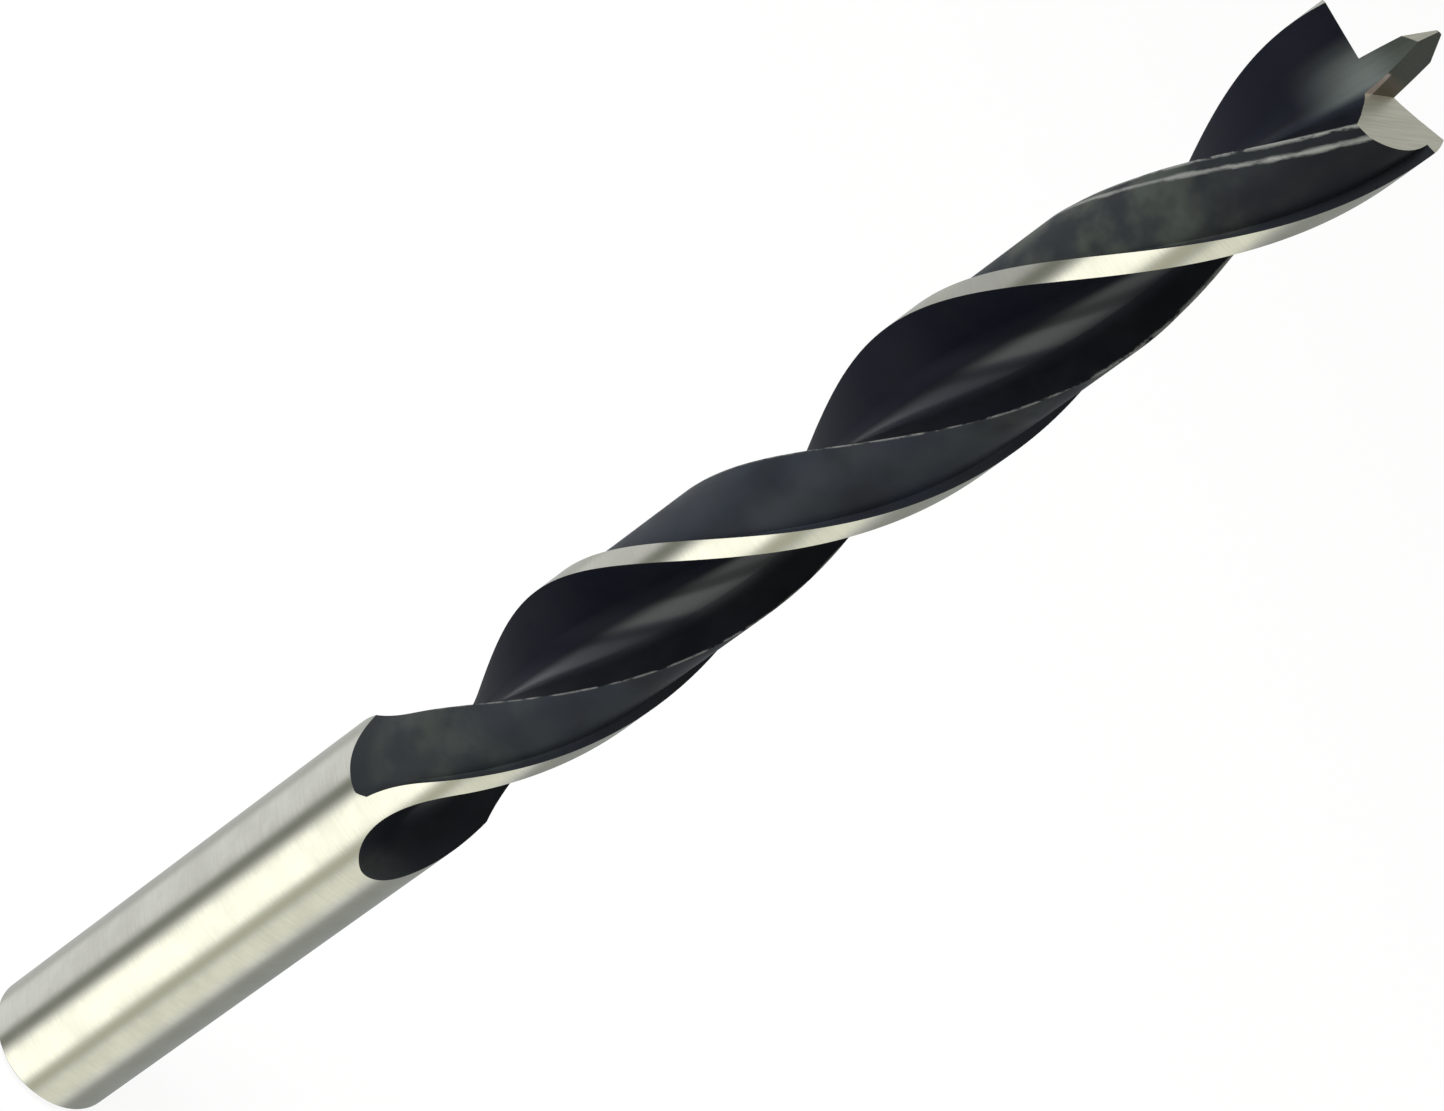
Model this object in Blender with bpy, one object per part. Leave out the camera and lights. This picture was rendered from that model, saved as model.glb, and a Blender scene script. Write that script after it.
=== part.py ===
"""Wood twist drill bit with a brad point, modelled as it is made.

A round bar is chamfered at the shank end. Two helical flutes and two shallow helical
clearances are ground into it, each with a run-out where the wheel leaves the bar.
The point is then ground: two flanks that rise to a spur at each margin, with the brad
between them. The bit stands on its shank end, with its axis on +Z.
"""

import math

import bmesh
import bpy
from mathutils import Vector

# The bar. Lengths are in metres.
DRILL_DIAMETER = 0.013
OVERALL_LENGTH = 0.151
SHANK_CHAMFER = 0.0007

# The helix is right-handed, and so is the cut.
HELIX_LEAD = 0.075
MARGIN_WIDTH = 0.00168
CLEARANCE_DEPTH = 0.0008

# The flute's section: two walls that run off a round bottom.
WEB_THICKNESS = 0.0023
FLUTE_BOTTOM_RADIUS = 0.00325
FLUTE_OPENING = math.radians(102.8)
FULL_FLUTE_LENGTH = 0.0972
FLUTE_WHEEL_RADIUS = 0.0150
FLUTE_LIFT_ANGLE = math.radians(82)
FLUTE_END_SKEW = 0.12

# The clearance behind each margin.
CLEARANCE_PAST_FLUTE = 0.0014
CLEARANCE_WHEEL_RADIUS = 0.0196
CLEARANCE_END_BOW = 0.0020
CLEARANCE_CORNER = 0.00085
CLEARANCE_CORNER_ANGLE = math.radians(5)
MARGIN_DRIFT_LENGTH = 0.0059
MARGIN_DRIFT = math.radians(11)

# The narrow flat along the heel, which fades out away from the point.
HEEL_FLAT_DEPTH = 0.00036
HEEL_FLAT_ANGLE = math.radians(-90)
HEEL_FLAT_LENGTH = 0.020
HEEL_FLAT_FADE = 0.0095

# The ground point.
BRAD_HEIGHT = 0.0045
BRAD_BASE_WIDTH = 0.0035
BRAD_TIP_THICKNESS = 0.0002
BRAD_TIP_WIDTH = 0.0005
BRAD_BEVEL = math.radians(36)
BRAD_BEVEL_DIRECTION = math.radians(225)
SPUR_HEIGHT = 0.0008
POINT_RELIEF = math.radians(14)
GRINDING_DIRECTION = math.radians(42)

# How finely the round shapes are divided.
BAR_SEGMENTS = 96
HELIX_STEP = math.radians(8)
BOTTOM_SEGMENTS = 9
LAND_SEGMENTS = 11
LIFT_SEGMENTS = 16

RADIUS = DRILL_DIAMETER / 2
LAND_RADIUS = RADIUS - CLEARANCE_DEPTH
SPUR_LEVEL = OVERALL_LENGTH - BRAD_HEIGHT
FLUTE_FULL_END = OVERALL_LENGTH - FULL_FLUTE_LENGTH
CLEARANCE_FULL_END = FLUTE_FULL_END - CLEARANCE_PAST_FLUTE
HEEL_ANGLE = FLUTE_OPENING - math.pi

# How far the cutters reach outside the bar, and how far past a surface they turn their corners.
BEYOND = 0.4 * DRILL_DIAMETER
SKIN = 0.00008
FULL_TURN = 2 * math.pi


def clear_scene():
    for thing in list(bpy.data.objects):
        bpy.data.objects.remove(thing, do_unlink=True)


def steel(name, colour, roughness):
    material = bpy.data.materials.new(name)
    material.use_nodes = True
    shader = material.node_tree.nodes["Principled BSDF"]
    shader.inputs["Base Color"].default_value = (*colour, 1)
    shader.inputs["Metallic"].default_value = 1
    shader.inputs["Roughness"].default_value = roughness
    material.diffuse_color = (*colour, 1)
    return material


def polar(radius, angle):
    return Vector((radius * math.cos(angle), radius * math.sin(angle)))


def on_helix(point, height):
    """Turn a point of the section to where the helix has it at this height."""
    turn = FULL_TURN * (height - SPUR_LEVEL) / HELIX_LEAD
    x = point[0] * math.cos(turn) - point[1] * math.sin(turn)
    y = point[0] * math.sin(turn) + point[1] * math.cos(turn)
    return Vector((x, y, height))


def solid_from_rings(name, rings, material):
    """Skin a closed solid over rings that all have the same number of points."""
    mesh = bpy.data.meshes.new(name)
    shape = bmesh.new()
    loops = [[shape.verts.new(point) for point in ring] for ring in rings]
    count = len(loops[0])
    for below, above in zip(loops, loops[1:]):
        for i in range(count):
            j = (i + 1) % count
            shape.faces.new((below[i], below[j], above[j], above[i]))
    caps = [shape.faces.new(loops[0]), shape.faces.new(loops[-1])]
    bmesh.ops.triangulate(shape, faces=caps)
    bmesh.ops.recalc_face_normals(shape, faces=shape.faces)
    shape.to_mesh(mesh)
    shape.free()
    mesh.materials.append(material)
    body = bpy.data.objects.new(name, mesh)
    bpy.context.scene.collection.objects.link(body)
    return body


def make_cutter(name, rings, material):
    cutter = solid_from_rings(name, rings, material)
    cutter.hide_render = True
    cutter.display_type = "WIRE"
    return cutter


def opposite(rings):
    """The same rings, half a turn round the axis."""
    return [[Vector((-p.x, -p.y, p.z)) for p in ring] for ring in rings]


def make_bar(material):
    """The round bar, from its chamfered shank end to the level of the brad's tip."""
    outline = [
        (RADIUS - SHANK_CHAMFER, 0),
        (RADIUS, SHANK_CHAMFER),
        (RADIUS, OVERALL_LENGTH),
    ]
    rings = []
    for radius, height in outline:
        angles = [FULL_TURN * i / BAR_SEGMENTS for i in range(BAR_SEGMENTS)]
        rings.append([polar(radius, angle).to_3d() + Vector((0, 0, height)) for angle in angles])
    return solid_from_rings("drill_bit", rings, material)


def tangent_direction(corner, centre, side):
    """The direction from a corner that just touches the flute's bottom circle."""
    to_centre = centre - corner
    heading = math.atan2(to_centre.y, to_centre.x)
    return heading + side * math.asin(FLUTE_BOTTOM_RADIUS / to_centre.length)


def flute_section():
    """The flute's closed outline, with the lip's outer corner on +X."""
    lip_corner = polar(RADIUS, 0)
    heel_corner = polar(LAND_RADIUS, FLUTE_OPENING)
    middle = FLUTE_OPENING / 2
    centre = polar(WEB_THICKNESS / 2 + FLUTE_BOTTOM_RADIUS, middle)
    lip_wall = tangent_direction(lip_corner, centre, 1)
    heel_wall = tangent_direction(heel_corner, centre, -1)
    first = lip_wall + math.pi / 2
    last = heel_wall - math.pi / 2 + FULL_TURN
    sweep = (last - first) % FULL_TURN - FULL_TURN
    bottom = []
    for i in range(BOTTOM_SEGMENTS + 1):
        angle = first + sweep * i / BOTTOM_SEGMENTS
        bottom.append(centre + polar(FLUTE_BOTTOM_RADIUS, angle))
    lip_side = [lip_corner - polar(reach, lip_wall) for reach in (BEYOND, SKIN)]
    inside_heel = -HEEL_FLAT_DEPTH - SKIN
    heel_side = [heel_corner - polar(reach, heel_wall) for reach in (inside_heel, SKIN, BEYOND)]
    far = polar(RADIUS + 2 * BEYOND, middle)
    return [*lip_side, *bottom, *heel_side, far]


def wheel_lifts(wheel_radius, rise):
    """Steps of (travel, lift) as a wheel of this radius leaves the bar."""
    swing = math.acos(max(1 - rise / wheel_radius, -0.5))
    steps = []
    for i in range(1, LIFT_SEGMENTS + 1):
        angle = swing * i / LIFT_SEGMENTS
        steps.append((wheel_radius * math.sin(angle), wheel_radius * (1 - math.cos(angle))))
    return steps


def stations(full_end, wheel_radius, rise):
    """Heights along the helix from the wheel's exit up past the tip, with the lift at each."""
    top = OVERALL_LENGTH + BEYOND
    count = math.ceil((top - full_end) * FULL_TURN / HELIX_LEAD / HELIX_STEP)
    leaving = [(full_end - travel, lift) for travel, lift in wheel_lifts(wheel_radius, rise)]
    running = [(full_end + (top - full_end) * i / count, 0) for i in range(count + 1)]
    return leaving[::-1] + running


def flute_rings():
    section = flute_section()
    lift_way = polar(1, FLUTE_LIFT_ANGLE)
    across = polar(1, FLUTE_LIFT_ANGLE - math.pi / 2)
    rings = []
    for height, lift in stations(FLUTE_FULL_END, FLUTE_WHEEL_RADIUS, 1.1 * RADIUS):
        ring = []
        for point in section:
            level = height + FLUTE_END_SKEW * point.dot(across)
            ring.append(on_helix(point + lift * lift_way, level))
        rings.append(ring)
    return rings


def margin_edge(height):
    """Where the clearance starts behind the lip corner, as an angle of the section."""
    past_end = max(CLEARANCE_FULL_END - height, 0) / MARGIN_DRIFT_LENGTH
    return -MARGIN_WIDTH / RADIUS + MARGIN_DRIFT * min(past_end, 1) ** 2


def heel_flat_reach(height):
    """How far from the axis the flat along the heel lies, which rises out of the land to fade."""
    faded = (SPUR_LEVEL - HEEL_FLAT_LENGTH - height) / HEEL_FLAT_FADE
    depth = HEEL_FLAT_DEPTH * min(max(1 - faded, 0), 1)
    return LAND_RADIUS * math.cos(HEEL_ANGLE - HEEL_FLAT_ANGLE) - depth


def land_points(start, height):
    """The land's (radius, angle) points from the margin round to the heel and into the flute."""
    reach = heel_flat_reach(height)
    flat_start = HEEL_FLAT_ANGLE + math.acos(reach / LAND_RADIUS)
    flat_start = max(flat_start, HEEL_ANGLE + math.radians(2))
    angles = []
    for i in range(LAND_SEGMENTS + 1):
        angles.append(start + (flat_start - start) * (i / LAND_SEGMENTS) ** 1.35)
    angles += [HEEL_ANGLE, HEEL_ANGLE - math.radians(16)]
    flat = [reach / math.cos(angle - HEEL_FLAT_ANGLE) for angle in angles[-3:]]
    radii = [LAND_RADIUS] * LAND_SEGMENTS + [min(radius, LAND_RADIUS) for radius in flat]
    return list(zip(radii, angles))


def clearance_rings():
    outside = RADIUS + BEYOND
    rings = []
    for height, lift in stations(CLEARANCE_FULL_END, CLEARANCE_WHEEL_RADIUS, 1.4 * CLEARANCE_DEPTH):
        start = margin_edge(height)
        section = [(radius + lift, angle) for radius, angle in land_points(start, height)]
        last = section[-1][1]
        section += [(outside, last), (outside, (start + last) / 2), (outside, start)]
        section.append((RADIUS + SKIN + lift, start))
        ring = []
        for radius, angle in section:
            behind = start - angle
            corner = max(1 - behind / CLEARANCE_CORNER_ANGLE, 0)
            level = height + CLEARANCE_END_BOW * behind ** 2 + CLEARANCE_CORNER * corner ** 2
            ring.append(on_helix(polar(radius, angle), level))
        rings.append(ring)
    return rings


def grinding_direction():
    """The way a grinding pass runs back from the lip and down, behind the first spur."""
    heading = math.pi + GRINDING_DIRECTION
    across = math.cos(heading)
    behind = math.sin(heading)
    return Vector((across, behind, across * lip_slope() + behind * math.tan(POINT_RELIEF)))


def lip_slope():
    return SPUR_HEIGHT / (RADIUS - BRAD_BASE_WIDTH / 2)


def point_rings():
    """One grinding pass: its two faces are the flank behind the lip and a side of the brad."""
    valley = Vector((BRAD_BASE_WIDTH / 2, 0, SPUR_LEVEL - SPUR_HEIGHT))
    reach = RADIUS + BEYOND
    outer = valley + Vector((reach, 0, reach * lip_slope()))
    tip_x = BRAD_TIP_THICKNESS / 2 / math.sin(GRINDING_DIRECTION)
    lean = (valley.x - tip_x) / (OVERALL_LENGTH - valley.z)
    top = OVERALL_LENGTH + BEYOND
    inner_top = valley + Vector((-(top - valley.z) * lean, 0, top - valley.z))
    outer_top = Vector((outer.x, 0, top))
    way = grinding_direction() * (2 * DRILL_DIAMETER)
    profile = [valley, outer, outer_top, inner_top]
    return [[corner - way for corner in profile], [corner + way for corner in profile]]


def brad_bevel_rings():
    """A wedge that bevels one flute side of the brad down to its tip."""
    facing = polar(1, BRAD_BEVEL_DIRECTION).to_3d()
    across = polar(1, BRAD_BEVEL_DIRECTION + math.pi / 2).to_3d()
    tip = facing * (BRAD_TIP_WIDTH / 2) + Vector((0, 0, OVERALL_LENGTH))
    down = BRAD_HEIGHT
    foot = tip + facing * (down * math.tan(BRAD_BEVEL)) - Vector((0, 0, down))
    above = tip - facing * (down * math.tan(BRAD_BEVEL)) + Vector((0, 0, down))
    outside = Vector((foot.x, foot.y, above.z))
    profile = [foot, outside, above]
    half_width = across * (0.8 * WEB_THICKNESS)
    return [[p - half_width for p in profile], [p + half_width for p in profile]]


def cut(body, cutter):
    modifier = body.modifiers.new(cutter.name, "BOOLEAN")
    modifier.operation = "DIFFERENCE"
    modifier.solver = "EXACT"
    modifier.object = cutter


def smooth(body):
    body.data.shade_smooth()
    body.data.set_sharp_from_angle(angle=math.radians(30))


def main():
    clear_scene()
    bright_steel = steel("bright_ground_steel", (0.60, 0.59, 0.53), 0.22)
    black_finish = steel("black_flute_finish", (0.022, 0.024, 0.030), 0.42)
    bit = make_bar(bright_steel)
    shapes = [
        ("flute", flute_rings(), black_finish),
        ("clearance", clearance_rings(), black_finish),
        ("point_flank", point_rings(), bright_steel),
        ("brad_bevel", brad_bevel_rings(), bright_steel),
    ]
    bit.data.materials.append(black_finish)
    for name, rings, material in shapes:
        cut(bit, make_cutter(name + "_cutter_1", rings, material))
        cut(bit, make_cutter(name + "_cutter_2", opposite(rings), material))
    smooth(bit)


main()
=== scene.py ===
"""A wood twist drill bit with a brad point: its fine surface, its finishes and the stage.

The bit stands on its shank end, with its axis on +Z. It is ground from a round bar with the
same wheels as the solid in the frame, in much finer steps. Lengths are in metres.
"""

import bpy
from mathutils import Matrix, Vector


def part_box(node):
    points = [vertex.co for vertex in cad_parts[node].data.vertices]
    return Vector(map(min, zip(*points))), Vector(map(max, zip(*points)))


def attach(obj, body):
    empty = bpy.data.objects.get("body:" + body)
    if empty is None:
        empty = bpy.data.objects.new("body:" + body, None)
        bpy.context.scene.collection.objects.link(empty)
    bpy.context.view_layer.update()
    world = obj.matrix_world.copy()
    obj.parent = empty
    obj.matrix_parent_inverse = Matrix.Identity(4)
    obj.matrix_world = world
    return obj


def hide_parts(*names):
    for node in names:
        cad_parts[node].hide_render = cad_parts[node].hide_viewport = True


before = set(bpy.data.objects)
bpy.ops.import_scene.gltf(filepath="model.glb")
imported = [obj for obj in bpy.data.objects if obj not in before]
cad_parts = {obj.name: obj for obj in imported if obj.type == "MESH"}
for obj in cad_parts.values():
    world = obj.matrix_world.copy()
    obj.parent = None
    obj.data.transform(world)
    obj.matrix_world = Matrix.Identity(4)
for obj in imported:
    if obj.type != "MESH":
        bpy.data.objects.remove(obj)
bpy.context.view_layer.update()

import math

import bmesh
import bpy
from bpy.props import FloatProperty, FloatVectorProperty, IntProperty, PointerProperty
from mathutils import Quaternion, Vector

bl_info = {
    "name": "Brad Point Wood Bit",
    "version": (1, 0, 0),
    "blender": (4, 5, 0),
    "location": "View3D > Sidebar > Wood Bit",
    "description": "Grinds a wood twist drill bit with a brad point and sets up its stage",
    "category": "Add Mesh",
}

CAD_NODE = "drill_bit"
LOWEST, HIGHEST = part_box(CAD_NODE)
FULL_TURN = 2 * math.pi
HALF_TURN = math.pi
QUARTER_TURN = math.pi / 2
MILLIMETRES = 1000
SENSOR_MILLIMETRES = 36
WHITE = (1, 1, 1, 1)
# A bit whose cuts went well has far more faces than this.
FEWEST_FACES = 1000
# Edges between the ground faces that turn by more than this stay sharp.
SHARP_EDGE = math.radians(30)


def length(name, description, default):
    return FloatProperty(
        name=name, description=description, default=default, unit="LENGTH", precision=5
    )


def angle(name, description, degrees):
    return FloatProperty(
        name=name, description=description, default=math.radians(degrees), subtype="ANGLE"
    )


def colour(name, description, default):
    return FloatVectorProperty(
        name=name, description=description, default=default, size=3, min=0, soft_max=1,
        subtype="COLOR",
    )


def steps(name, description, default):
    return IntProperty(name=name, description=description, default=default, min=3)


class BitSizes(bpy.types.PropertyGroup):
    """The bar, the flutes, the clearances and the point."""

    drill_diameter: length("Diameter", "Across the two margins", HIGHEST.x - LOWEST.x)
    overall_length: length("Length", "Shank end to brad tip", HIGHEST.z - LOWEST.z)
    shank_chamfer: length("Shank chamfer", "Chamfer round the shank end", 0.0007)
    helix_lead: length("Lead", "Rise of the right-hand helix in one turn", 0.075)
    margin_width: length("Margin width", "Bright land left behind each lip", 0.00168)
    clearance_depth: length("Clearance depth", "Step down from margin to land", 0.0008)
    web_thickness: length("Web", "Thickness left between the flutes", 0.0023)
    flute_bottom_radius: length("Flute bottom", "Radius of the flute's round bottom", 0.00325)
    flute_opening: angle("Flute opening", "Angle from the lip to the heel", 102.8)
    full_flute_length: length("Flute length", "Flute at its full depth, from the tip", 0.0972)
    flute_wheel_radius: length("Flute wheel", "Radius of the flute's run-out", 0.015)
    flute_lift_angle: angle("Flute lift", "Side to which the flute's wheel leaves", 82)
    flute_end_skew: FloatProperty(
        name="Flute end skew", description="Slant of the flute's run-out", default=0.12
    )
    clearance_past_flute: length(
        "Clearance run-on", "Clearance at full depth below the flute", 0.0014
    )
    clearance_wheel_radius: length("Clearance wheel", "Radius of its run-out", 0.0196)
    clearance_end_bow: length("End bow", "Bow of the clearance's end", 0.002)
    clearance_corner: length("End corner", "Rounding of the end beside the margin", 0.00085)
    clearance_corner_angle: angle("End corner angle", "Width of that rounding", 5)
    margin_drift_length: length("Margin flare length", "Where the margin widens", 0.0059)
    margin_drift: angle("Margin flare", "How far the margin widens at its end", 11)
    heel_flat_depth: length("Heel flat depth", "Depth of the flat along the heel", 0.00036)
    heel_flat_angle: angle("Heel flat facing", "Where the flat along the heel faces", -90)
    heel_flat_length: length("Heel flat length", "Flat at full depth, from the spurs", 0.020)
    heel_flat_fade: length("Heel flat fade", "Length over which the flat fades out", 0.0095)
    brad_height: length("Brad height", "Brad tip above the spurs", 0.0045)
    brad_base_width: length("Brad base", "Width of the brad at the valleys", 0.0035)
    brad_tip_thickness: length("Brad tip thickness", "Across its ground walls", 0.0002)
    brad_tip_width: length("Brad tip width", "Across its bevel", 0.0005)
    brad_bevel: angle("Brad bevel", "Lean of the bevel at the tip", 36)
    brad_bevel_direction: angle("Brad bevel facing", "Side that is bevelled", 225)
    spur_height: length("Spur height", "Spurs above the valleys", 0.0008)
    point_relief: angle("Point relief", "Fall of the flank behind its lip", 14)
    grinding_direction: angle("Grinding direction", "Way the point is ground", 42)
    bar_steps: steps("Bar steps", "Sides of the round bar", 384)
    bottom_steps: steps("Flute steps", "Steps across the flute's bottom", 40)
    land_steps: steps("Land steps", "Steps across each land", 26)
    lift_steps: steps("Run-out steps", "Steps along each run-out", 64)
    helix_step: angle("Helix step", "Turn between two sections of the helix", 2.5)


class BitColours(bpy.types.PropertyGroup):
    """The colours of the bit's finishes."""

    ground_steel: colour("Ground steel", "Shank and margins", (0.62, 0.61, 0.53))
    flute_black: colour("Flute black", "Heat-blackened flutes", (0.0036, 0.0045, 0.0065))
    flute_blue: colour("Flute blue", "Blue heat tint behind the lips", (0.006, 0.0072, 0.015))
    land_black: colour("Land black", "Heat-blackened lands", (0.013, 0.015, 0.019))
    # Also laid into the polished flute bottoms as a painted highlight tint.
    land_blue_and_highlight_tint: colour("Land blue", "Blue heat tint on the lands", (0.021, 0.0255, 0.036))
    # Painted sheen, laid into the base colour of the lands and flutes.
    land_painted_sheen: colour("Land sheen", "Oil sheen on the lands", (0.052, 0.061, 0.052))
    # Paler painted sheen near the brad, on the flute bottoms and the web.
    point_painted_sheen: colour("Point sheen", "Paler web beside the brad", (0.105, 0.12, 0.114))
    worn_edge: colour("Worn edge", "Steel showing on worn heel edges", (0.34, 0.35, 0.33))
    flank_steel: colour("Flank steel", "Ground flanks behind the lips", (0.485, 0.48, 0.43))
    brad_steel: colour("Brad steel", "Ground walls of the brad", (0.20, 0.215, 0.175))
    brad_brown: colour("Brad brown", "Brown heat tint at the brad's foot", (0.40, 0.30, 0.22))
    # Painted highlight along the edge at the brad's foot.
    brad_edge_highlight: colour("Brad edge", "Bright edge at the brad's foot", (0.85, 0.72, 0.66))


class StageSettings(bpy.types.PropertyGroup):
    """The floor, the light and the camera."""

    floor_colour: colour("Floor", "Plain pale floor", (0.86, 0.86, 0.86))
    floor_size: length("Floor size", "Side of the square floor", 6)
    floor_glow: FloatProperty(
        name="Floor glow", description="How far the floor is shown as white", default=0.9,
        min=0, max=1, subtype="FACTOR",
    )
    lamp_size: length("Lamp size", "Side of the soft lamp", 0.5)
    lamp_distance: length("Lamp distance", "Soft lamp to the bit", 0.7)
    lamp_power: FloatProperty(
        name="Lamp power", description="Power of the soft lamp", default=6.0, unit="POWER"
    )
    lamp_azimuth: angle("Lamp azimuth", "Side that the lamp stands on", -160)
    lamp_elevation: angle("Lamp elevation", "Height of the lamp", 55)
    view_azimuth: angle("View azimuth", "Side that the camera stands on", -108.203)
    view_elevation: angle("View elevation", "Downward tilt of the camera", 27.532)
    view_roll: angle("View roll", "Lean of the bit in the picture", 53.827)
    camera_place: FloatVectorProperty(
        name="Camera place", description="Where the camera stands", size=3,
        default=(-0.06965, -0.21160, 0.19948), subtype="TRANSLATION",
    )
    camera_lens: FloatProperty(
        name="Lens", description="Focal length for a 36 mm sensor, in millimetres",
        default=81.14,
    )


class Value:
    """A number that varies over a surface. Python's operators on it add Math nodes."""

    def __init__(self, graph, socket):
        self.graph = graph
        self.socket = socket

    def maths(self, operation, *numbers):
        inputs = dict(enumerate(numbers))
        return self.graph.number("ShaderNodeMath", {"operation": operation}, inputs)

    def __add__(self, other):
        return self.maths("ADD", self, other)

    __radd__ = __add__

    def __sub__(self, other):
        return self.maths("SUBTRACT", self, other)

    def __rsub__(self, other):
        return self.maths("SUBTRACT", other, self)

    def __mul__(self, other):
        return self.maths("MULTIPLY", self, other)

    __rmul__ = __mul__

    def __truediv__(self, other):
        return self.maths("DIVIDE", self, other)

    def __pow__(self, other):
        return self.maths("POWER", self, other)

    def __abs__(self):
        return self.function("ABSOLUTE")

    def function(self, operation):
        return self.maths(operation, self)

    def heading(self, x):
        """The angle from +X of the way that goes x across and this value up."""
        return self.maths("ARCTAN2", self, x)

    def larger(self, other):
        return self.maths("MAXIMUM", self, other)

    def smaller(self, other):
        return self.maths("MINIMUM", self, other)

    def wrapped(self, lowest, highest):
        return self.maths("WRAP", self, highest, lowest)

    def ramp(self, zero_at, one_at):
        """0 at the first value and 1 at the second, with a smooth run between them."""
        settings = {"interpolation_type": "SMOOTHSTEP"}
        inputs = {"Value": self, "From Min": zero_at, "From Max": one_at}
        return self.graph.number("ShaderNodeMapRange", settings, inputs)


class Graph:
    """The nodes of a material or of the world."""

    def __init__(self, tree):
        self.tree = tree
        tree.nodes.clear()

    def add(self, kind, settings=None, inputs=None):
        """Add a node: its settings come first, then a value or a link for each socket."""
        node = self.tree.nodes.new(kind)
        for name, setting in (settings or {}).items():
            setattr(node, name, setting)
        for name, given in (inputs or {}).items():
            socket = node.inputs[name]
            if isinstance(given, Value):
                given = given.socket
            if isinstance(given, bpy.types.NodeSocket):
                self.tree.links.new(given, socket)
            else:
                socket.default_value = given
        return node

    def number(self, kind, settings, inputs):
        """Add a node and take its first output as a number."""
        return Value(self, self.add(kind, settings, inputs).outputs[0])

    def mix(self, factor, first, second):
        """A colour between two others, from the sockets of the node that mix colours."""
        inputs = {0: factor, 6: first, 7: second}
        return self.add("ShaderNodeMix", {"data_type": "RGBA"}, inputs).outputs[2]

    def vector(self, x, y, z):
        return self.add("ShaderNodeCombineXYZ", None, {0: x, 1: y, 2: z}).outputs[0]

    def noise(self, vector, detail=3, roughness=0.5):
        """Soft noise from 0 to 1, with about one wave to each unit of the vector."""
        inputs = {"Vector": vector, "Scale": 1, "Detail": detail, "Roughness": roughness}
        return self.number("ShaderNodeTexNoise", {"noise_dimensions": "3D"}, inputs)

    def separate(self, vector):
        node = self.add("ShaderNodeSeparateXYZ", None, {0: vector})
        return [Value(self, socket) for socket in node.outputs]

    def bump(self, height, depth):
        """A normal that is tilted by marks of this depth, in metres."""
        inputs = {"Height": height, "Distance": depth, "Strength": 1}
        return self.add("ShaderNodeBump", None, inputs).outputs[0]

    def surface(self, inputs):
        """The material's shader and its output."""
        shader = self.add("ShaderNodeBsdfPrincipled", None, inputs)
        self.add("ShaderNodeOutputMaterial", None, {"Surface": shader.outputs[0]})


class Places:
    """Where a point of the surface lies on the bit, in millimetres and radians."""

    def __init__(self, graph, form):
        sizes = form.sizes
        coordinates = graph.add("ShaderNodeTexCoord").outputs["Object"]
        self.x, self.y, self.z = [
            metres * MILLIMETRES for metres in graph.separate(coordinates)
        ]
        self.radius = (self.x * self.x + self.y * self.y) ** 0.5
        self.graph = graph
        lead = sizes.helix_lead * MILLIMETRES
        spur_level = form.spur_level * MILLIMETRES
        turn = (self.z - spur_level) * (FULL_TURN / lead)
        around = self.y.heading(self.x)
        # The angle within the section, which repeats every half turn and is 0 at each lip.
        middle = sizes.flute_opening / 2
        self.phase = (around - turn).wrapped(middle - HALF_TURN, middle)
        # The section's own axes, which turn with the helix.
        cosine = turn.function("COSINE")
        sine = turn.function("SINE")
        self.across = self.x * cosine + self.y * sine
        self.behind = self.y * cosine - self.x * sine
        # How far the point lies from the flute's middle, towards the heel.
        off_middle = (around - turn - middle).wrapped(-QUARTER_TURN, QUARTER_TURN)
        self.to_heel = self.radius * off_middle.function("SINE")

    def along_helix(self, fine, coarse):
        """Coordinates for marks that run along the helix."""
        return self.graph.vector(self.across * fine, self.behind * fine, self.z * coarse)

    def round_bar(self, fine, coarse):
        """Coordinates for marks that run round the bar."""
        return self.graph.vector(self.x * coarse, self.y * coarse, self.z * fine)

    def even(self, scale):
        """Coordinates for marks that are alike in every direction."""
        return self.graph.vector(self.x * scale, self.y * scale, self.z * scale)


def polar(radius, heading):
    """The point of a section at this distance from the axis, in this direction."""
    return Vector((radius * math.cos(heading), radius * math.sin(heading)))


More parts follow.
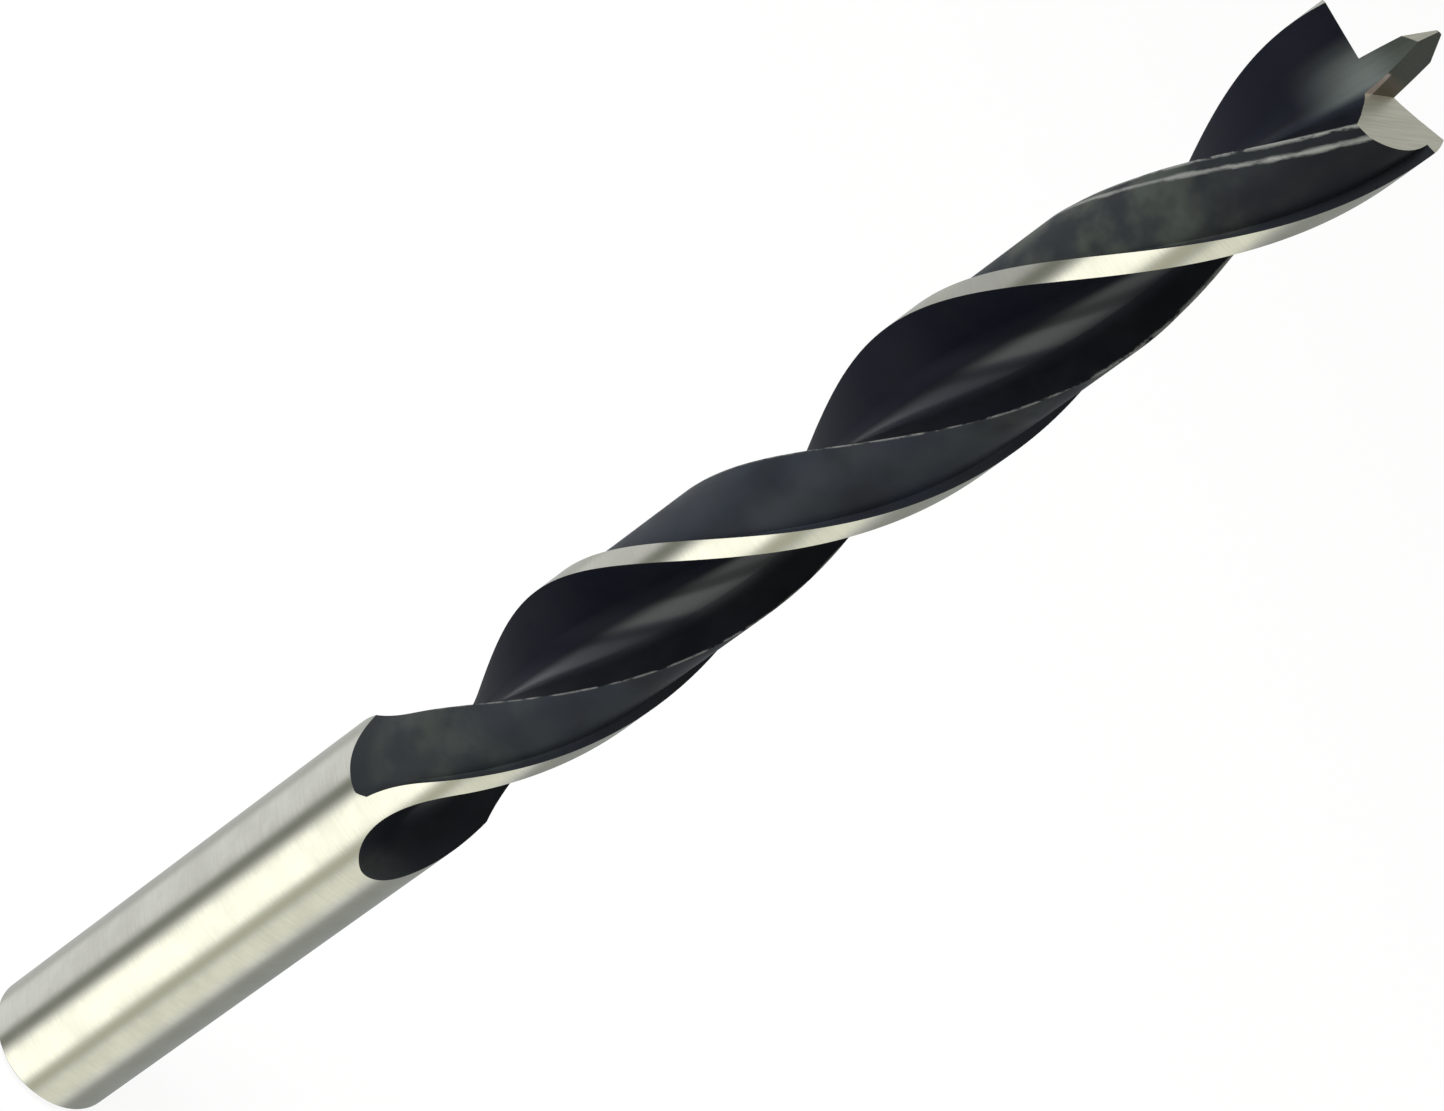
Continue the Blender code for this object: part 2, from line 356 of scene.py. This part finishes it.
class BitForm:
    """The bit's sections and the rings of its cutters, worked out from its sizes."""

    # The clearance runs on past the heel, and its steps crowd towards the margin.
    RUN_PAST_HEEL = math.radians(16)
    LEAST_STEP_TO_HEEL = math.radians(2)
    CROWDING = 1.35
    # The cosine of the widest swing of a wheel that is smaller than its rise.
    WIDEST_SWING = -0.5

    def __init__(self, sizes):
        self.sizes = sizes
        self.radius = sizes.drill_diameter / 2
        self.land_radius = self.radius - sizes.clearance_depth
        self.spur_level = sizes.overall_length - sizes.brad_height
        self.flute_full_end = sizes.overall_length - sizes.full_flute_length
        self.clearance_full_end = self.flute_full_end - sizes.clearance_past_flute
        self.heel_angle = sizes.flute_opening - HALF_TURN
        # How far cutters reach past the bar, and how far their corners keep off its faces.
        self.beyond = 0.4 * sizes.drill_diameter
        self.skin = 0.1 * sizes.clearance_depth

    def on_helix(self, point, height):
        """Turn a point of the section to where the helix has it at this height."""
        turn = FULL_TURN * (height - self.spur_level) / self.sizes.helix_lead
        x = point[0] * math.cos(turn) - point[1] * math.sin(turn)
        y = point[0] * math.sin(turn) + point[1] * math.cos(turn)
        return Vector((x, y, height))

    def bar_rings(self):
        """The round bar, from its chamfered shank end to the level of the brad's tip."""
        sizes = self.sizes
        outline = [
            (self.radius - sizes.shank_chamfer, 0),
            (self.radius, sizes.shank_chamfer),
            (self.radius, sizes.overall_length),
        ]
        headings = [FULL_TURN * i / sizes.bar_steps for i in range(sizes.bar_steps)]
        return [
            [polar(radius, heading).to_3d() + Vector((0, 0, height)) for heading in headings]
            for radius, height in outline
        ]

    def tangent_direction(self, corner, centre, side):
        """The direction from a corner that just touches the flute's bottom circle."""
        to_centre = centre - corner
        heading = math.atan2(to_centre.y, to_centre.x)
        return heading + side * math.asin(self.sizes.flute_bottom_radius / to_centre.length)

    def flute_section(self):
        """The flute's closed outline, with the lip's outer corner on +X."""
        sizes = self.sizes
        bottom_radius = sizes.flute_bottom_radius
        lip_corner = polar(self.radius, 0)
        heel_corner = polar(self.land_radius, sizes.flute_opening)
        middle = sizes.flute_opening / 2
        centre = polar(sizes.web_thickness / 2 + bottom_radius, middle)
        lip_wall = self.tangent_direction(lip_corner, centre, 1)
        heel_wall = self.tangent_direction(heel_corner, centre, -1)
        first = lip_wall + QUARTER_TURN
        last = heel_wall - QUARTER_TURN + FULL_TURN
        sweep = (last - first) % FULL_TURN - FULL_TURN
        bottom = [
            centre + polar(bottom_radius, first + sweep * i / sizes.bottom_steps)
            for i in range(sizes.bottom_steps + 1)
        ]
        lip_side = [lip_corner - polar(reach, lip_wall) for reach in (self.beyond, self.skin)]
        inside_heel = -sizes.heel_flat_depth - self.skin
        reaches = (inside_heel, self.skin, self.beyond)
        heel_side = [heel_corner - polar(reach, heel_wall) for reach in reaches]
        far = polar(self.radius + 2 * self.beyond, middle)
        return [*lip_side, *bottom, *heel_side, far]

    def wheel_lifts(self, wheel_radius, rise):
        """Steps of (travel, lift) as a wheel of this radius leaves the bar."""
        swing = math.acos(max(1 - rise / wheel_radius, self.WIDEST_SWING))
        count = self.sizes.lift_steps
        swings = [swing * i / count for i in range(1, count + 1)]
        return [(wheel_radius * math.sin(a), wheel_radius * (1 - math.cos(a))) for a in swings]

    def stations(self, full_end, wheel_radius, rise):
        """Heights from the wheel's exit up past the tip, with the lift at each."""
        top = self.sizes.overall_length + self.beyond
        turn = (top - full_end) * FULL_TURN / self.sizes.helix_lead
        count = math.ceil(turn / self.sizes.helix_step)
        lifts = self.wheel_lifts(wheel_radius, rise)
        leaving = [(full_end - travel, lift) for travel, lift in lifts]
        running = [(full_end + (top - full_end) * i / count, 0) for i in range(count + 1)]
        return leaving[::-1] + running

    def flute_rings(self):
        """One flute, from where its wheel leaves the bar up past the tip."""
        sizes = self.sizes
        section = self.flute_section()
        lift_way = polar(1, sizes.flute_lift_angle)
        across = polar(1, sizes.flute_lift_angle - QUARTER_TURN)
        rise = 1.1 * self.radius
        rings = []
        for height, lift in self.stations(self.flute_full_end, sizes.flute_wheel_radius, rise):
            ring = []
            for point in section:
                level = height + sizes.flute_end_skew * point.dot(across)
                ring.append(self.on_helix(point + lift * lift_way, level))
            rings.append(ring)
        return rings

    def margin_edge(self, height):
        """Where the clearance starts behind the lip corner, as an angle of the section."""
        sizes = self.sizes
        past_end = max(self.clearance_full_end - height, 0) / sizes.margin_drift_length
        return -sizes.margin_width / self.radius + sizes.margin_drift * min(past_end, 1) ** 2

    def heel_flat_reach(self, height):
        """How far from the axis the flat along the heel lies at this height."""
        sizes = self.sizes
        flat_end = self.spur_level - sizes.heel_flat_length
        faded = (flat_end - height) / sizes.heel_flat_fade
        depth = sizes.heel_flat_depth * min(max(1 - faded, 0), 1)
        return self.land_radius * math.cos(self.heel_angle - sizes.heel_flat_angle) - depth

    def land_points(self, start, height):
        """The land's (radius, angle) points, from the margin past the heel."""
        facing = self.sizes.heel_flat_angle
        reach = self.heel_flat_reach(height)
        flat_start = facing + math.acos(reach / self.land_radius)
        flat_start = max(flat_start, self.heel_angle + self.LEAST_STEP_TO_HEEL)
        count = self.sizes.land_steps
        shares = [(i / count) ** self.CROWDING for i in range(count + 1)]
        angles = [start + (flat_start - start) * share for share in shares]
        angles += [self.heel_angle, self.heel_angle - self.RUN_PAST_HEEL]
        flat = [min(reach / math.cos(a - facing), self.land_radius) for a in angles[-3:]]
        return list(zip([self.land_radius] * count + flat, angles))

    def clearance_rings(self):
        """One clearance, which steps the land down behind its margin."""
        sizes = self.sizes
        outside = self.radius + self.beyond
        rise = 1.4 * sizes.clearance_depth
        wheel_radius = sizes.clearance_wheel_radius
        rings = []
        for height, lift in self.stations(self.clearance_full_end, wheel_radius, rise):
            start = self.margin_edge(height)
            section = [(r + lift, a) for r, a in self.land_points(start, height)]
            last = section[-1][1]
            section += [(outside, last), (outside, (start + last) / 2), (outside, start)]
            section.append((self.radius + self.skin + lift, start))
            ring = []
            for radius, heading in section:
                behind = start - heading
                corner = max(1 - behind / sizes.clearance_corner_angle, 0)
                bow = sizes.clearance_end_bow * behind ** 2
                level = height + bow + sizes.clearance_corner * corner ** 2
                ring.append(self.on_helix(polar(radius, heading), level))
            rings.append(ring)
        return rings

    def lip_slope(self):
        """How steeply the lip rises outwards, from its valley to its spur."""
        return self.sizes.spur_height / (self.radius - self.sizes.brad_base_width / 2)

    def grinding_way(self):
        """The way a grinding pass runs back from the lip and down, behind the first spur."""
        heading = HALF_TURN + self.sizes.grinding_direction
        across = math.cos(heading)
        behind = math.sin(heading)
        fall = across * self.lip_slope() + behind * math.tan(self.sizes.point_relief)
        return Vector((across, behind, fall))

    def point_rings(self):
        """One grinding pass: the flank behind a lip, and a side of the brad."""
        sizes = self.sizes
        valley = Vector((sizes.brad_base_width / 2, 0, self.spur_level - sizes.spur_height))
        reach = self.radius + self.beyond
        outer = valley + Vector((reach, 0, reach * self.lip_slope()))
        tip_x = sizes.brad_tip_thickness / 2 / math.sin(sizes.grinding_direction)
        lean = (valley.x - tip_x) / (sizes.overall_length - valley.z)
        top = sizes.overall_length + self.beyond
        inner_top = valley + Vector((-(top - valley.z) * lean, 0, top - valley.z))
        outer_top = Vector((outer.x, 0, top))
        half_pass = self.grinding_way() * (2 * sizes.drill_diameter)
        profile = [valley, outer, outer_top, inner_top]
        return [[p - half_pass for p in profile], [p + half_pass for p in profile]]

    def brad_bevel_rings(self):
        """A wedge that bevels one flute side of the brad down to its tip."""
        sizes = self.sizes
        facing = polar(1, sizes.brad_bevel_direction).to_3d()
        across = polar(1, sizes.brad_bevel_direction + QUARTER_TURN).to_3d()
        tip = facing * (sizes.brad_tip_width / 2) + Vector((0, 0, sizes.overall_length))
        down = Vector((0, 0, sizes.brad_height))
        out = facing * (sizes.brad_height * math.tan(sizes.brad_bevel))
        foot = tip + out - down
        above = tip - out + down
        outside = Vector((foot.x, foot.y, above.z))
        half_width = across * (0.8 * sizes.web_thickness)
        profile = [foot, outside, above]
        return [[p - half_width for p in profile], [p + half_width for p in profile]]


def opposite(rings):
    """The same rings, half a turn round the axis."""
    return [[Vector((-p.x, -p.y, p.z)) for p in ring] for ring in rings]


def solid_from_rings(name, rings, materials, last_side_material=0):
    """Skin a closed solid over rings. The side that closes each ring may differ in finish."""
    mesh = bpy.data.meshes.new(name)
    shape = bmesh.new()
    loops = [[shape.verts.new(point) for point in ring] for ring in rings]
    count = len(loops[0])
    for below, above in zip(loops, loops[1:]):
        for i in range(count):
            j = (i + 1) % count
            face = shape.faces.new((below[i], below[j], above[j], above[i]))
            face.material_index = last_side_material if j == 0 else 0
    caps = [shape.faces.new(loops[0]), shape.faces.new(loops[-1])]
    bmesh.ops.triangulate(shape, faces=caps)
    bmesh.ops.recalc_face_normals(shape, faces=shape.faces)
    shape.to_mesh(mesh)
    shape.free()
    for material in materials:
        mesh.materials.append(material)
    body = bpy.data.objects.new(name, mesh)
    bpy.context.scene.collection.objects.link(body)
    return body


def cut(body, cutter):
    """Take the cutter away from the body, and leave its finish on the faces that it cuts."""
    modifier = body.modifiers.new(cutter.name, "BOOLEAN")
    modifier.operation = "DIFFERENCE"
    modifier.solver = "EXACT"
    modifier.material_mode = "TRANSFER"
    modifier.object = cutter


def apply_cuts(body, cutters):
    """Keep the ground shape as the body's own mesh, and clear the cutters away."""
    evaluated = body.evaluated_get(bpy.context.evaluated_depsgraph_get())
    ground = bpy.data.meshes.new_from_object(evaluated)
    body.modifiers.clear()
    body.data = ground
    for cutter in cutters:
        bpy.data.objects.remove(cutter, do_unlink=True)


def smooth(body, form):
    """Shade the helical faces smooth, with true radial normals on the ground bar."""
    mesh = body.data
    mesh.shade_smooth()
    mesh.set_sharp_from_angle(angle=SHARP_EDGE)
    nearly = 0.9999 * form.radius
    upright = 0.1
    normals = [normal.vector.copy() for normal in mesh.corner_normals]
    for face in mesh.polygons:
        points = [mesh.vertices[mesh.loops[i].vertex_index].co for i in face.loop_indices]
        on_bar = all(point.to_2d().length > nearly for point in points)
        if on_bar and abs(face.normal.z) < upright:
            for i, point in zip(face.loop_indices, points):
                normals[i] = Vector((point.x, point.y, 0)).normalized()
    mesh.normals_split_custom_set(normals)


def new_finish(name, form):
    """A new material, its graph, and the places on the bit that it can use."""
    material = bpy.data.materials.new(name)
    material.use_nodes = True
    graph = Graph(material.node_tree)
    return material, graph, Places(graph, form)


def full(rgb):
    """A colour with the fourth number that sockets want."""
    return (*rgb, 1)


def darker(rgb, share):
    return full(share * part for part in rgb)


def ground_steel(form, colours):
    """Shank and margins: round-ground bar, with fine marks round it and faint stains."""
    material, graph, at = new_finish("ground_steel", form)
    marks = graph.noise(at.round_bar(9, 0.25), detail=4, roughness=0.6)
    stains = graph.noise(at.even(0.22), detail=4, roughness=0.62).ramp(0.35, 0.72)
    steel = graph.mix(stains, full(colours.ground_steel), darker(colours.ground_steel, 0.9))
    scored = marks.ramp(0.3, 0.8) * 0.35
    graph.surface({
        "Base Color": graph.mix(scored, steel, darker(colours.ground_steel, 0.8)),
        "Metallic": 1,
        "Roughness": 0.19 + 0.08 * marks + 0.04 * stains,
        "Normal": graph.bump(marks, 1.2e-6),
    })
    return material


def heel_wear(graph, at, form):
    """Broken bright lines where the black has worn off the heel's edges."""
    sizes = form.sizes
    land_radius = form.land_radius * MILLIMETRES
    fade_start = (form.spur_level - sizes.heel_flat_length - sizes.heel_flat_fade) * MILLIMETRES
    fade = sizes.heel_flat_fade * MILLIMETRES
    flat_share = ((at.z - fade_start) / fade).larger(0).smaller(1)
    depth = flat_share * (sizes.heel_flat_depth * MILLIMETRES)
    heel_off = abs(at.phase - form.heel_angle) * land_radius
    below_heel = (land_radius - depth) - at.radius
    heel_line = heel_off.larger(below_heel)
    reach = land_radius * math.cos(form.heel_angle - sizes.heel_flat_angle) - depth
    flat_edge = (reach / land_radius).function("ARCCOSINE") + sizes.heel_flat_angle
    flat_line = abs(at.phase - flat_edge) * land_radius
    near_point = at.z.ramp(112, 130)
    dashes = graph.noise(at.along_helix(1.6, 0.7), detail=4, roughness=0.65)
    rubbed = graph.noise(at.along_helix(0.1, 0.13), detail=2).ramp(0.36, 0.62)
    width = (0.02 + 0.24 * dashes) * (1 + near_point)
    heel = heel_line.ramp(width * 1.1, 0.0) * (dashes + 0.05 * near_point).ramp(0.40, 0.56)
    heel = heel * (0.45 + 0.3 * rubbed + 0.15 * near_point)
    flat = flat_line.ramp(width * (0.7 + 0.6 * rubbed), 0.0) * (0.35 + 0.65 * rubbed)
    flat = flat * dashes.ramp(0.2, 0.55)
    # The run-out at the shank end isn't worn.
    run_out = (form.flute_full_end + 0.15 * sizes.flute_wheel_radius) * MILLIMETRES
    return heel.larger(flat * flat_share) * at.z.ramp(run_out, run_out + 2)


def flute_black(form, colours):
    """Flutes: heat-blackened, with faint drawn lines along the helix and a polished bottom, with
    a painted highlight tint on that bottom and painted sheen near the brad and at the flute's
    end.
    """
    material, graph, at = new_finish("flute_black", form)
    lines = graph.noise(at.along_helix(2.6, 0.05), roughness=0.55)
    bloom = graph.noise(at.even(0.3), detail=4, roughness=0.6).ramp(0.35, 0.7)
    lip_half = at.to_heel.ramp(0.1, -0.9)
    black = graph.mix(lip_half, full(colours.flute_black), full(colours.flute_blue))
    polish = at.radius.ramp(3.6, 1.7) * at.to_heel.ramp(-0.6, 0.6)
    run_out = at.z.ramp(60, 48)
    black = graph.mix(0.25 * bloom + 0.6 * run_out, black, full(colours.land_black))
    # Painted highlight tint: the polished bottom is made bluer, so that its highlight looks
    # blue.
    black = graph.mix(0.45 * polish, black, full(colours.land_blue_and_highlight_tint))
    # Painted sheen at the flute's end.
    scoop = at.z.ramp(45, 41.5)
    black = graph.mix(scoop * (0.3 + 0.5 * bloom), black, full(colours.land_painted_sheen))
    # Painted sheen near the brad: the flute bottoms and the web are made paler there.
    near_point = at.z.ramp(139.5, 146) * at.radius.ramp(4.2, 1.6) * at.to_heel.ramp(1.6, 0.5)
    short_of_point = at.z.ramp(142, 130)
    web = at.z.ramp(148.5, 145.5)
    pale = graph.mix(web, full(colours.land_painted_sheen), full(colours.point_painted_sheen))
    black = graph.mix(near_point * (0.65 + 0.6 * lines), black, pale)
    wear = heel_wear(graph, at, form)
    graph.surface({
        "Base Color": graph.mix(wear, black, full(colours.worn_edge)),
        "Metallic": wear * 0.7,
        "Roughness": 0.40 + 0.10 * lines + 0.05 * bloom,
        "Specular IOR Level": 0.08,
        "Coat Weight": polish * (0.82 + 0.18 * lines) * short_of_point,
        "Coat Roughness": 0.24,
        "Normal": graph.bump(lines, 4e-6),
    })
    return material


def land_black(form, colours):
    """Lands: heat-blackened, with soft patches of painted sheen, stronger towards both ends, and
    worn heel edges.
    """
    material, graph, at = new_finish("land_black", form)
    lines = graph.noise(at.along_helix(3.5, 0.2), roughness=0.6)
    near_point = at.z.ramp(102, 126)
    point_end = near_point * at.z.ramp(140, 127)
    shank_end = at.z.ramp(68, 54)
    tint = graph.noise(at.even(0.1)).ramp(0.3, 0.55)
    tint = tint * (1 - 0.7 * near_point.larger(shank_end))
    black = graph.mix(tint, full(colours.land_black), full(colours.land_blue_and_highlight_tint))
    patches = graph.noise(at.even(0.24), roughness=0.52).ramp(0.36, 0.64)
    # Painted sheen: soft patches, and both ends of the lands made paler and greener.
    sheen = 0.15 * point_end + 0.18 * shank_end
    sheen = sheen + patches * (0.12 + 0.7 * point_end + 0.3 * shank_end)
    black = graph.mix(sheen, black, full(colours.land_painted_sheen))
    tip_end = at.z.ramp(128, 143)
    black = graph.mix(0.6 * tip_end, black, full(colours.flute_black))
    step = at.radius.ramp(form.land_radius * MILLIMETRES + 0.06, form.radius * MILLIMETRES - 0.3)
    black = graph.mix(step * 0.7, black, full(colours.land_black))
    wear = heel_wear(graph, at, form)
    graph.surface({
        "Base Color": graph.mix(wear, black, full(colours.worn_edge)),
        "Metallic": wear * 0.7,
        "Roughness": 0.40 + 0.12 * lines - 0.06 * patches,
        "Specular IOR Level": 0.12,
        "Normal": graph.bump(lines, 8e-6),
    })
    return material


def flank_steel(form, colours):
    """Flanks behind the lips: ground straight across, in the grinding direction."""
    material, graph, at = new_finish("flank_steel", form)
    heading = form.sizes.grinding_direction
    cross = at.x * math.sin(heading) - at.y * math.cos(heading)
    along = at.x * math.cos(heading) + at.y * math.sin(heading)
    marks = graph.noise(graph.vector(cross * 9, along * 0.3, at.z * 0.3))
    scored = marks.ramp(0.3, 0.7)
    steel = graph.mix(scored, full(colours.flank_steel), darker(colours.flank_steel, 0.87))
    graph.surface({
        "Base Color": steel,
        "Metallic": 1,
        "Roughness": 0.34 + 0.12 * marks,
        "Normal": graph.bump(marks, 3e-6),
    })
    return material


def brad_steel(form, colours):
    """Ground walls of the brad, browned a little, with marks along the grinding direction and a
    painted highlight along the edge at the brad's foot.
    """
    material, graph, at = new_finish("brad_steel", form)
    heading = form.sizes.grinding_direction
    cross = at.x * math.sin(heading) - at.y * math.cos(heading)
    along = at.x * math.cos(heading) + at.y * math.sin(heading)
    marks = graph.noise(graph.vector(along * 0.4, at.z * 9, 0))
    walls = graph.mix(marks, full(colours.brad_steel), darker(colours.brad_steel, 0.7))
    level = form.spur_level * MILLIMETRES
    foot = at.z.ramp(level + 0.7, level - 0.1)
    walls = graph.mix(foot * 0.5, walls, full(colours.brad_brown))
    # A painted highlight along the edge that each pass leaves at the brad's foot, on the same
    # side of either wall.
    painted_ridge_highlight = (along * cross.function("SIGN")).ramp(-0.5, -0.7) * foot.ramp(0.1, 0.5)
    graph.surface({
        "Base Color": graph.mix(painted_ridge_highlight, walls, full(colours.brad_edge_highlight)),
        "Metallic": 1,
        "Roughness": 0.34 + 0.14 * marks,
        "Normal": graph.bump(marks, 3e-6),
    })
    return material


class WOODBIT_OT_bit(bpy.types.Operator):
    """Grind the whole bit from its bar: flutes, clearances, spurs and brad"""

    bl_idname = "woodbit.bit"
    bl_label = "Grind bit"

    def execute(self, context):
        form = BitForm(context.scene.woodbit_sizes)
        colours = context.scene.woodbit_colours
        steel = ground_steel(form, colours)
        flute = flute_black(form, colours)
        land = land_black(form, colours)
        flank = flank_steel(form, colours)
        brad = brad_steel(form, colours)
        bit = solid_from_rings("fluted_bit", form.bar_rings(), [steel])
        shapes = [
            ("flute", form.flute_rings(), [flute], 0),
            ("clearance", form.clearance_rings(), [land], 0),
            ("point_flank", form.point_rings(), [flank, brad], 1),
            ("brad_bevel", form.brad_bevel_rings(), [flank], 0),
        ]
        cutters = []
        for name, rings, materials, last_side in shapes:
            for number, side in enumerate((rings, opposite(rings)), 1):
                cutters.append(solid_from_rings(f"{name}_{number}", side, materials, last_side))
                cut(bit, cutters[-1])
        apply_cuts(bit, cutters)
        if len(bit.data.polygons) < FEWEST_FACES:
            raise RuntimeError("the cuts left nothing of the bit")
        smooth(bit, form)
        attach(bit, "root")
        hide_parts(CAD_NODE)
        return {"FINISHED"}


# What the bit sees round it. Heights are sines of the elevation: each pair gives where the
# next colour up or down starts, and where it is full.
SURROUND = (1.00, 1.02, 1.06)
SURROUND_TOP = (0.58, 0.59, 0.62)
SURROUND_TOP_HEIGHTS = (-0.54, -0.40)
BELOW = (0.65, 0.65, 0.63)
BELOW_HEIGHTS = (-0.75, -0.95)
UNLIT = (0.045, 0.045, 0.055)
UNLIT_HEIGHTS = (-0.04, 0.10)
CEILING = (0.92, 0.92, 0.86)
CEILING_HEIGHTS = (0.45, 0.65)
# The panels that stand in the surround: the middle and half width of each, in degrees of
# azimuth, the softness of its edges, and its colour.
PANELS = [
    ("key panel", -115.5, 25.5, 8, (1.92, 1.94, 1.82)),
    ("gap beside the key", -161, 11, 9, (0.22, 0.23, 0.20)),
    ("olive gap", -76, 9, 10, (0.56, 0.57, 0.46)),
    ("fill panel", -44, 17, 12, (1.13, 1.15, 1.05)),
    ("dark far side", 30, 46, 16, (0.38, 0.40, 0.40)),
    ("dim back", 106, 22, 12, (0.60, 0.62, 0.62)),
]


def surround_colour(graph):
    """Soft panels that stand round the bit, an unlit band above them and a pale ceiling."""
    ways = graph.add("ShaderNodeTexCoord").outputs["Generated"]
    x, y, z = graph.separate(ways)
    azimuth = y.heading(x)
    seen = graph.mix(z.ramp(*SURROUND_TOP_HEIGHTS), full(SURROUND), full(SURROUND_TOP))
    for _, middle, half_width, softness, panel in PANELS:
        off = abs((azimuth - math.radians(middle)).wrapped(-HALF_TURN, HALF_TURN))
        outer = math.radians(half_width + softness / 2)
        inner = math.radians(half_width - softness / 2)
        seen = graph.mix(off.ramp(outer, inner), seen, full(panel))
    seen = graph.mix(z.ramp(*BELOW_HEIGHTS), seen, full(BELOW))
    seen = graph.mix(z.ramp(*UNLIT_HEIGHTS), seen, full(UNLIT))
    return graph.mix(z.ramp(*CEILING_HEIGHTS), seen, full(CEILING))


def set_world(scene):
    """The surround lights the bit, and the camera sees white in its place."""
    world = bpy.data.worlds.new("soft_studio")
    world.use_nodes = True
    scene.world = world
    graph = Graph(world.node_tree)
    around = graph.add("ShaderNodeBackground", None, {"Color": surround_colour(graph)})
    white = graph.add("ShaderNodeBackground", None, {"Color": WHITE})
    path = graph.add("ShaderNodeLightPath")
    shown = graph.add(
        "ShaderNodeMixShader", None,
        {0: path.outputs["Is Camera Ray"], 1: around.outputs[0], 2: white.outputs[0]},
    )
    graph.add("ShaderNodeOutputWorld", None, {"Surface": shown.outputs[0]})


def make_floor(settings):
    """A plain floor that keeps the bit's shadow and is shown almost white."""
    half = settings.floor_size / 2
    corners = [(-half, -half, 0), (half, -half, 0), (half, half, 0), (-half, half, 0)]
    mesh = bpy.data.meshes.new("floor")
    mesh.from_pydata(corners, [], [(0, 1, 2, 3)])
    floor = bpy.data.objects.new("floor", mesh)
    bpy.context.scene.collection.objects.link(floor)
    floor.visible_glossy = False
    material = bpy.data.materials.new("floor_paper")
    material.use_nodes = True
    graph = Graph(material.node_tree)
    paper = graph.add("ShaderNodeBsdfDiffuse", None, {"Color": full(settings.floor_colour)})
    glow = graph.add("ShaderNodeEmission", None, {"Color": WHITE, "Strength": 1})
    path = graph.add("ShaderNodeLightPath")
    share = Value(graph, path.outputs["Is Camera Ray"]) * settings.floor_glow
    shown = graph.add(
        "ShaderNodeMixShader", None, {0: share, 1: paper.outputs[0], 2: glow.outputs[0]}
    )
    graph.add("ShaderNodeOutputMaterial", None, {"Surface": shown.outputs[0]})
    mesh.materials.append(material)


def direction(azimuth, elevation):
    """The way from the bit to what stands on this side, at this height."""
    level = math.cos(elevation)
    return Vector((level * math.cos(azimuth), level * math.sin(azimuth), math.sin(elevation)))


def make_lamp(settings, middle):
    """One large soft lamp, which gives the floor its shadow."""
    lamp = bpy.data.lights.new("soft_lamp", "AREA")
    lamp.shape = "SQUARE"
    lamp.size = settings.lamp_size
    lamp.energy = settings.lamp_power
    holder = bpy.data.objects.new("soft_lamp", lamp)
    way = direction(settings.lamp_azimuth, settings.lamp_elevation)
    holder.location = middle + way * settings.lamp_distance
    holder.rotation_euler = (-way).to_track_quat("-Z", "Y").to_euler()
    holder.visible_glossy = False
    bpy.context.scene.collection.objects.link(holder)


def make_camera(settings):
    """The camera looks down on the standing bit and is rolled, so that the bit lies aslant."""
    camera = bpy.data.cameras.new("camera")
    camera.lens = settings.camera_lens
    camera.sensor_width = SENSOR_MILLIMETRES
    camera.sensor_fit = "HORIZONTAL"
    camera.clip_start = 0.01
    holder = bpy.data.objects.new("camera", camera)
    holder.location = settings.camera_place
    way = -direction(settings.view_azimuth, settings.view_elevation)
    roll = Quaternion((0, 0, 1), settings.view_roll)
    holder.rotation_mode = "QUATERNION"
    holder.rotation_quaternion = way.to_track_quat("-Z", "Y") @ roll
    bpy.context.scene.collection.objects.link(holder)
    bpy.context.scene.camera = holder


class WOODBIT_OT_stage(bpy.types.Operator):
    """Set out the floor, the soft light and the camera"""

    bl_idname = "woodbit.stage"
    bl_label = "Set stage"

    def execute(self, context):
        scene = context.scene
        settings = scene.woodbit_stage
        set_world(scene)
        make_floor(settings)
        make_lamp(settings, (LOWEST + HIGHEST) / 2)
        make_camera(settings)
        scene.view_settings.view_transform = "Standard"
        return {"FINISHED"}


class WOODBIT_PT_panel(bpy.types.Panel):
    """Buttons that make the bit and its stage"""

    bl_idname = "WOODBIT_PT_panel"
    bl_label = "Brad Point Wood Bit"
    bl_space_type = "VIEW_3D"
    bl_region_type = "UI"
    bl_category = "Wood Bit"

    def draw(self, context):
        column = self.layout.column(align=True)
        for operator in OPERATORS:
            column.operator(operator.bl_idname)


OPERATORS = (WOODBIT_OT_bit, WOODBIT_OT_stage)
CLASSES = (BitSizes, BitColours, StageSettings, *OPERATORS, WOODBIT_PT_panel)


def register():
    for kind in CLASSES:
        bpy.utils.register_class(kind)
    bpy.types.Scene.woodbit_sizes = PointerProperty(type=BitSizes)
    bpy.types.Scene.woodbit_colours = PointerProperty(type=BitColours)
    bpy.types.Scene.woodbit_stage = PointerProperty(type=StageSettings)


def unregister():
    del bpy.types.Scene.woodbit_stage
    del bpy.types.Scene.woodbit_colours
    del bpy.types.Scene.woodbit_sizes
    for kind in reversed(CLASSES):
        bpy.utils.unregister_class(kind)


def main():
    register()
    bpy.ops.woodbit.bit()
    bpy.ops.woodbit.stage()


if __name__ == "__main__":
    main()
